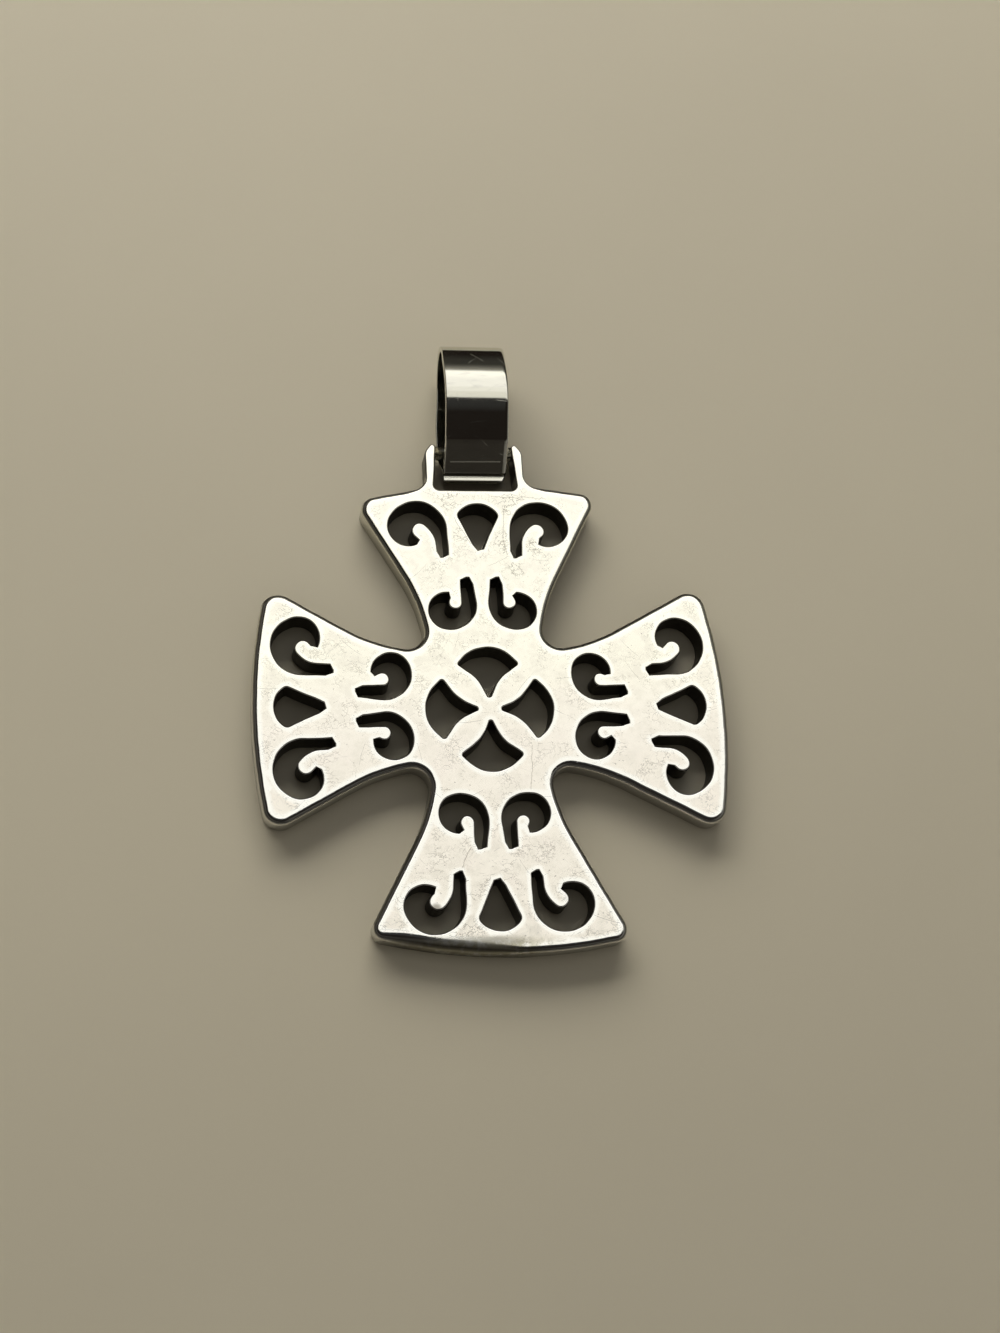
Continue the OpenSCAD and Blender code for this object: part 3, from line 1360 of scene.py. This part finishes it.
    def side(
        self, shell: Shell, outline: Outline, front: np.ndarray, back: np.ndarray, way: Facing
    ) -> tuple[range, range]:
        """Adds the side of the plate along one outline, with both of its rounded edges.

        Args:
            shell: the mesh it goes into.
            outline: the outline.
            front: the rounding at the front, for each point.
            back: the rounding at the back.
            way: out of the cross or into a cut-out.

        Returns:
            The first ring, on the face, and the last one, on the back.
        """
        hole = way == Facing.IN
        swell = self.swell(outline.points)[0]
        draft = self.rim_draft if hole else 0.0
        far = self.far_side(outline)
        rings = []

        def ring(grow: Numbers, z: Numbers, lean: float, up: float, dark: Numbers) -> None:
            """Adds a ring.

            Args:
                grow: how far outwards it is moved.
                z: its height.
                lean: how far its directions lead out.
                up: how far they lead up.
                dark: its painted shade.
            """
            points = with_height(outline.moved(grow), z)
            normals = with_height(way * outline.normals * lean, up)
            rings.append(shell.add(points, normals, rim=0.0, hollow=dark))

        for turn in quarter(self.front_steps):
            lean, up = math.sin(turn), math.cos(turn)
            z = self.thickness - swell - front * (1 - up)
            dark = self.front_dark(turn / (math.pi / 2), far, way)
            ring(draft - way * front * (1 - lean), z, lean, up, dark)
        # Painted shade on the wall, deeper towards its foot, and full in the cut-outs and
        # where the wall faces the bail
        for share in self.wall_shares:
            z = (self.thickness - front) * (1 - share) + back * share
            dark = np.maximum(far, self.wall_dark + self.wall_darker * share)
            ring(draft * (1 - share), z, 1.0, 0.0, 1.0 if hole else dark)
        # Painted shade on the back rounding, full in the cut-outs
        for turn in quarter(self.back_steps)[::-1]:
            lean, up = math.sin(turn), math.cos(turn)
            dark = lean * (1.0 if hole else self.back_dark)
            ring(-way * back * (1 - lean), back * (1 - up), lean, -up, dark)
        shell.tube(rings)
        return rings[0], rings[-1]

    def loose_points(self, loops: Sequence[np.ndarray]) -> tuple[np.ndarray, np.ndarray]:
        """Points spread evenly over the plate, a little away from its edges.

        Args:
            loops: the loops that bound it.

        Returns:
            The points, and how far each is from the nearest loop.
        """
        step = self.spacing
        rows = []
        reach = self.leg_top + self.lattice_over
        for k, y in enumerate(np.arange(-reach, reach, step * math.sqrt(3) / 2)):
            x = np.arange(-reach, reach, step) + (k % 2) * step / 2
            rows.append(np.column_stack([x, np.full(len(x), y)]))
        spots = np.concatenate(rows)
        spots = spots[inside(loops, spots)]
        away = nearest(spots, np.concatenate(loops))
        far = away > step * self.margin
        return spots[far], away[far]

    def plate(self) -> bpy.types.Object:
        """Makes the pierced plate with its two legs, as one closed mesh.

        Returns:
            Its object.
        """
        shell = Shell()
        outer, holes = self.outline(), self.cut_outs()
        front = self.edge_at(outer, self.front_edge, holes, self.rim_edge)
        back = self.edge_at(outer, self.back_edge, holes, self.rim_back)
        sides = [self.side(shell, outer, front, back, Facing.OUT)]
        for hole in holes:
            rims = [np.full(len(hole.points), r) for r in (self.rim_edge, self.rim_back)]
            sides.append(self.side(shell, hole, *rims, Facing.IN))
        for face, up in ((0, 1.0), (1, -1.0)):
            rings = [pair[face] for pair in sides]
            loops = shell.flat_loops(rings, slice(0, 2))
            spots, away = self.loose_points(loops)
            depth, slope = self.swell(spots)
            level = self.thickness - depth if up > 0 else np.zeros(len(spots))
            normals = np.column_stack([-slope * max(up, 0.0), np.full(len(spots), up)])
            inner = shell.add(with_height(spots, level), normals, rim=away, hollow=0.0)
            shell.fill(rings, loops, inner, spots)
        return shell.finished("cross_plate")

    def bar(self) -> bpy.types.Object:
        """Makes the bar between the legs, a little thicker where it meets them, with painted
        shade on its middle under the strap.

        Returns:
            Its object.
        """
        shell = Shell()
        inner = self.lug_width / 2 - self.leg_width
        end = inner + self.leg_width * self.bar_into
        turns = np.linspace(0, math.tau, self.bar_sides + 1)[:-1]
        circle = np.column_stack([np.cos(turns), np.sin(turns)])
        full = inner + self.bar_over
        flare = np.linspace(inner - self.bar_from, full, self.bar_rings)
        rings = []
        for x in (-end, *-flare[::-1], *flare, end):
            near = float(smooth(inner - self.bar_neck, full, np.array(abs(x))))
            thick = self.bar_radius * (1.0 - self.bar_flat * near)
            high = self.bar_radius + self.bar_flare * near
            middle = (x - self.lug_left, self.bar_y, self.bar_z)
            points = np.column_stack([0.0 * turns, circle * (thick, high)]) + middle
            lean = np.full(len(turns), -math.copysign(self.bar_lean * near, x))
            normals = np.column_stack([lean, circle])
            # Painted shade on the middle of the bar, under the strap, fading towards the legs
            dark = self.bar_dark * (1.0 - near)
            rings.append(shell.add(points, normals, rim=0.0, hollow=dark))
        shell.tube(rings)
        shell.faces += [tuple(rings[0]), tuple(reversed(rings[-1]))]
        return shell.finished("lug_bar")

    def build(self, finish: CastSilver) -> list[bpy.types.Object]:
        """Builds and dresses the cross.

        Args:
            finish: its silver.

        Returns:
            Its pieces.
        """
        material = finish.mixed("cast_silver")
        pieces = [self.plate(), self.bar()]
        for piece in pieces:
            piece.data.materials.append(material)
            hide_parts("cross")
            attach(piece, "cross")
        return pieces


# The bail


@dataclass
class Bail:
    """The strap bail, bent to a loop and soldered at its pinched tip. Its rounds are seen
    along the bar, with the chain's end to the right, so x is the pendant's Y and y its Z."""

    left: float = 0.12
    width: float = 5.0
    strap: float = 0.45
    height: float = 5.198
    crest: float = 5.0
    lip: float = 0.35
    tip_y: float = 19.55
    fold: Round = Round(20.2, 1.75, 0.55)
    left_edge: Span = (0.10, 0.08)
    right_edge: Span = (0.34, 0.10)
    inner_edge: float = 0.07
    left_corner: float = 0.25
    right_corner: float = 0.62
    askew: float = 0.26
    askew_spans: tuple[Span, ...] = ((28.0, 23.5), (20.4, 21.8))
    askew_under: Span = (3.0, 1.0)
    bend: Span = (26.94, 29.2)
    corner_from: float = 0.2
    edge_steps: int = 6
    strips: int = 8
    belt: BeltMaker = BeltMaker(longest=0.3, fine=7.0, medium=2.5, coarse=1.5)

    def loop_rounds(self) -> list[Round]:
        """Lists the rounds that the outside and the inside of the loop share.

        Returns:
            The rounds, from the knee over the crest to the back leg.
        """
        return [
            Round(22.2, 2.85, 1.2),
            Round(25.6, self.height - self.crest, self.crest),
            Round(28.25, 2.5, 1.9),
            Round(26.8, 3.95, 3.95),
            Round(21.25, 1.6, 1.6),
        ]

    def outside(self) -> Outline:
        """Runs round the strap's outside, with the pinched tip.

        Returns:
            The outline.
        """
        return self.softened(
            [
                Round(self.tip_y - self.lip, 1.25, 0.2),
                Round(self.tip_y - 0.11, 1.55, 0.1, -1),
                Round(self.tip_y + 0.17, 1.82, 0.16),
                Round(self.tip_y + 0.3, 2.95, 0.6, -1),
                *self.loop_rounds(),
            ]
        )

    def softened(self, rounds: Sequence[Round]) -> Outline:
        """Runs the belt round the rounds and lets its directions turn evenly from the crest
        to the nose, as polishing leaves them.

        Args:
            rounds: the rounds of the outside.

        Returns:
            The outline with its softened directions.
        """
        made = self.belt.round_the(rounds)
        crest, nose = self.loop_rounds()[1:3]
        along, up = made.points.T
        ends = [math.asin((y - r.x) / r.radius) for y, r in zip(self.bend, (crest, nose))]
        tilt = np.interp(along, self.bend, ends)
        bent = (along > self.bend[0]) & (along < self.bend[1]) & (up > nose.y)
        even = np.column_stack([np.sin(tilt), np.cos(tilt)])
        return Outline(made.points, np.where(bent[:, None], even, made.normals))

    def inside(self) -> Outline:
        """The strap's inside, as the rounds with the strap's thickness taken off."""
        rounds = (self.fold, *self.loop_rounds())
        return self.belt.round_the([replace(r, radius=r.radius - self.strap) for r in rounds])

    def ends_at(self, along: np.ndarray, hand: Hand) -> np.ndarray:
        """How far the strap reaches to one side, less at the rounded corners of the tip.

        Args:
            along: the places' Y.
            hand: the side.

        Returns:
            The reach at each place, from the strap's middle.
        """
        corner = self.right_corner if hand == Hand.RIGHT else self.left_corner
        start = self.tip_y - self.lip - self.corner_from
        into = np.clip((start + corner - along) / corner, 0.0, 1.0)
        return self.width / 2 - corner * (1.0 - np.sqrt(1.0 - into**2))

    def edge(self, hand: Hand, way: Facing) -> Span:
        """Says how a rounded edge of the strap is made.

        Args:
            hand: its side.
            way: the outside or the inside.

        Returns:
            How wide and how deep it is.
        """
        if way == Facing.IN:
            return self.inner_edge, self.inner_edge
        return self.left_edge if hand == Hand.LEFT else self.right_edge

    def skin(self, shell: Shell, outline: Outline, way: Facing) -> tuple[range, range]:
        """Adds the strap's outside or inside, from its left side to its right.

        Args:
            shell: the mesh it goes into.
            outline: the outline that it follows.
            way: the outside or the inside.

        Returns:
            The ring on the left side and the one on the right side.
        """
        along = outline.points[:, 0]
        rings = []

        def ring(reach: np.ndarray, grow: float, lean: Span) -> None:
            """Adds a ring.

            Args:
                reach: how far it lies to the right.
                grow: how far outwards it is moved.
                lean: how far its directions lead to the right and out.
            """
            flat = outline.moved(grow)
            back = smooth(*self.askew_under, flat[:, 1])
            for span in self.askew_spans:
                back = back * smooth(*span, flat[:, 0])
            points = np.column_stack([reach - self.left - self.askew * back, flat])
            sideways = np.full(len(flat), lean[0])
            normals = np.column_stack([sideways, way * outline.normals * lean[1]])
            rings.append(shell.add(points, normals))

        for hand in Hand:
            wide, deep = self.edge(hand, way)
            ends = self.ends_at(along, hand)
            turns = quarter(self.edge_steps)
            for turn in turns[::-1] if hand == Hand.LEFT else turns:
                reach = ends - wide * (1 - math.sin(turn))
                lean = (hand * math.sin(turn) / wide, math.cos(turn) / deep)
                ring(hand * reach, -way * deep * (1 - math.cos(turn)), lean)
            if hand == Hand.LEFT:
                left = wide - ends
                right = self.ends_at(along, Hand.RIGHT) - self.edge(Hand.RIGHT, way)[0]
                for share in np.linspace(0, 1, self.strips + 1)[1:-1]:
                    ring(left * (1 - share) + right * share, 0.0, (0.0, 1.0))
        shell.tube(rings)
        return rings[0], rings[-1]

    def loop(self) -> bpy.types.Object:
        """Makes the whole strap, as one closed mesh.

        Returns:
            Its object.
        """
        shell = Shell()
        outer = self.skin(shell, self.outside(), Facing.OUT)
        inner = self.skin(shell, self.inside(), Facing.IN)
        for rings in zip(outer, inner):
            shell.fill(rings, shell.flat_loops(rings, slice(1, 3)))
        return shell.finished("bail_strap")

    def build(self, finish: StrapSilver) -> list[bpy.types.Object]:
        """Builds and dresses the bail.

        Args:
            finish: its silver.

        Returns:
            Its pieces.
        """
        piece = self.loop()
        piece.data.materials.append(finish.mixed("strap_silver"))
        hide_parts("bail")
        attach(piece, "bail")
        return [piece]


# The studio


@dataclass(frozen=True)
class Softbox:
    """A flat light, either mirrored in the silver or felt by the slab."""

    name: str
    centre: Triple
    size: Span
    glow: float
    colour: Colour
    mirrored: bool = True
    aimed: bool = False

    def hang(self) -> None:
        """Hangs the light, facing straight down or aimed at the pendant."""
        data = bpy.data.lights.new(self.name, "AREA")
        data.shape = "RECTANGLE"
        data.size, data.size_y = self.size
        data.energy = self.glow * math.pi * self.size[0] * self.size[1]
        data.color = self.colour
        light = bpy.data.objects.new(self.name, data)
        light.location = self.centre
        if self.aimed:
            light.rotation_euler = (-Vector(self.centre)).to_track_quat("-Z", "Y").to_euler()
        light.visible_glossy = self.mirrored
        light.visible_diffuse = not self.mirrored
        light.visible_camera = False
        bpy.context.scene.collection.objects.link(light)


@dataclass(frozen=True)
class Zone:
    """A part of the dim room: its colour, and the spans in which it sets in to the right,
    to the back and upwards."""

    colour: Colour
    right: tuple[Span, ...] = ()
    back: tuple[Span, ...] = ()
    up: tuple[Span, ...] = ()

    def share(self, direction: Sequence[Value]) -> Value:
        """Sets the zone in where its spans say.

        Args:
            direction: how far a direction leads to the right, to the back and up.

        Returns:
            How much of the zone shows there.
        """
        shares = [
            part.rise(*span)
            for part, spans in zip(direction, (self.right, self.back, self.up))
            for span in spans
        ]
        return math.prod(shares[1:], start=shares[0])


@dataclass(frozen=True)
class Studio:
    """The slab, the lights, the dim room and the camera. The zones of the room are, in
    order: overhead, the front, the right, the horizon, a dark card in front, the left,
    and a glimmer and a fringe at the back."""

    focal: float = 2002.0 / 1333.0 * 36.0
    sensor: float = 36.0
    clip: Span = (0.005, 20.0)
    eye: Triple = (-24.3, -43.74, 146.29)
    turn: Triple = (18.370, -8.903, -3.199)
    slab_half: float = 1.6
    slab_drop: float = 0.01
    slab: Colour = (0.55, 0.505, 0.40)
    slab_clouds: Clouds = Clouds(0.02, 3.0, 0.55)
    slab_span: Span = (0.3, 0.7)
    slab_share: float = 0.25
    slab_dim: float = 0.88
    slab_rough: float = 0.55
    slab_shine: float = 0.3
    room: Colour = (0.014, 0.011, 0.009)
    backdrop: Colour = (0.42, 0.39, 0.32)
    zones: tuple[Zone, ...] = (
        Zone((0.034, 0.034, 0.033), up=((0.90, 0.99),)),
        Zone((0.12, 0.115, 0.10), back=((-0.30, -0.55),), up=((0.75, 0.60),)),
        Zone((0.24, 0.23, 0.205), ((0.35, 0.62),), ((0.75, 0.30),), ((0.75, 0.60),)),
        Zone((0.19, 0.18, 0.16), back=((0.75, 0.30),), up=((0.42, 0.20),)),
        Zone(
            (0.026, 0.023, 0.019),
            ((0.05, 0.10), (0.25, 0.20)),
            ((0.0, -0.3),),
            ((0.24, 0.28), (0.84, 0.78)),
        ),
        Zone((0.165, 0.155, 0.135), right=((-0.35, -0.62),), up=((0.72, 0.58),)),
        Zone((0.040, 0.038, 0.032), back=((0.6, 0.85),), up=((0.12, 0.28),)),
        Zone((0.30, 0.29, 0.25), back=((0.6, 0.85),), up=((0.36, 0.52),)),
    )
    panels: tuple[Softbox, ...] = (
        Softbox("near_panel", (0.34, 0.24, 1.2), (1.40, 0.264), 0.97, (1.0, 0.985, 0.897)),
        Softbox("middle_panel", (0.34, 0.474, 1.2), (1.40, 0.204), 1.12, (1.0, 0.99, 0.93)),
        Softbox("far_panel", (0.34, 1.296, 1.2), (1.40, 1.44), 1.25, (1.0, 0.99, 0.95)),
    )
    low_light: Softbox = Softbox(
        "low_light", (-0.08, 0.36, 0.2), (0.5, 0.2), 6.45, (1.0, 0.97, 0.88), False, aimed=True
    )
    overhead_light: Softbox = Softbox(
        "overhead_light", (0.0, 0.24, 1.2), (0.6, 0.6), 0.95, (1.0, 0.96, 0.86), False
    )
    ring_light: Softbox = Softbox(
        "ring_light", (0.9, 0.0, 0.55), (1.6, 0.9), 0.18, (1.0, 0.97, 0.9), False, aimed=True
    )
    ring_sides: int = 4

    def ring(self) -> list[Softbox]:
        """Sets copies of the ring light on all sides of the slab.

        Returns:
            The copies.
        """
        far, _, high = self.ring_light.centre
        made = []
        for i in range(self.ring_sides):
            turn = math.tau * i / self.ring_sides
            centre = (far * math.cos(turn), far * math.sin(turn), high)
            made.append(replace(self.ring_light, name=f"ring_light_{i}", centre=centre))
        return made

    def lay_slab(self) -> None:
        """Lays the plain slab under the pendant."""
        paint = Paint.material("slab")
        soft = self.slab_clouds.drawn(paint, paint.place()).rise(*self.slab_span)
        dim = tuple(c * self.slab_dim for c in self.slab)
        tone = paint.blend(soft * self.slab_share, self.slab, dim)
        finish = {"Roughness": self.slab_rough, "Specular IOR Level": self.slab_shine}
        material = paint.shaded({"Base Color": tone, **finish})
        mesh = bpy.data.meshes.new("slab")
        half, z = self.slab_half, -self.slab_drop * MM
        corners = [(-half, -half, z), (half, -half, z), (half, half, z), (-half, half, z)]
        mesh.from_pydata(corners, [], [(0, 1, 2, 3)])
        mesh.materials.append(material)
        slab = bpy.data.objects.new("slab", mesh)
        bpy.context.scene.collection.objects.link(slab)

    def dim_room(self) -> None:
        """Surrounds the slab with a dim room that is lighter near the horizon."""
        world = bpy.data.worlds.new("room")
        bpy.context.scene.world = world
        paint = Paint(world)
        away = paint.parts(paint.node("ShaderNodeTexCoord").outputs["Generated"])
        seen = self.room
        for zone in self.zones:
            seen = paint.blend(zone.share(away), seen, zone.colour)
        direct = paint.value("ShaderNodeLightPath", output="Is Camera Ray")
        seen = paint.blend(direct, seen, self.backdrop)
        shader = paint.node("ShaderNodeBackground", None, {"Color": seen, "Strength": 1.0})
        paint.node("ShaderNodeOutputWorld", None, {"Surface": shader.outputs[0]})

    def set_camera(self) -> None:
        """Sets the camera above the pendant's lower left."""
        data = bpy.data.cameras.new("camera")
        data.lens, data.sensor_width = self.focal, self.sensor
        data.clip_start, data.clip_end = self.clip
        camera = bpy.data.objects.new("camera", data)
        camera.location = Vector(self.eye) * MM
        camera.rotation_euler = [math.radians(a) for a in self.turn]
        bpy.context.scene.collection.objects.link(camera)
        bpy.context.scene.camera = camera

    def build(self) -> None:
        """Sets up the whole studio."""
        self.lay_slab()
        for softbox in (*self.panels, self.low_light, self.overhead_light, *self.ring()):
            softbox.hang()
        self.dim_room()
        self.set_camera()
        scene = bpy.context.scene
        scene.view_settings.view_transform = "Standard"
        scene.view_settings.look = "None"


def main() -> None:
    """Builds the pendant and its studio, and reports each piece."""
    logging.basicConfig(level=logging.INFO, format="%(name)s: %(message)s")
    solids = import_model()
    LOG.info("solids: %s", ", ".join(sorted(solids["nodes"])))
    for piece in Cross().build(CastSilver()) + Bail().build(StrapSilver()):
        LOG.info("%s: %d faces", piece.name, len(piece.data.polygons))
    Studio().build()


if __name__ == "__main__":
    main()
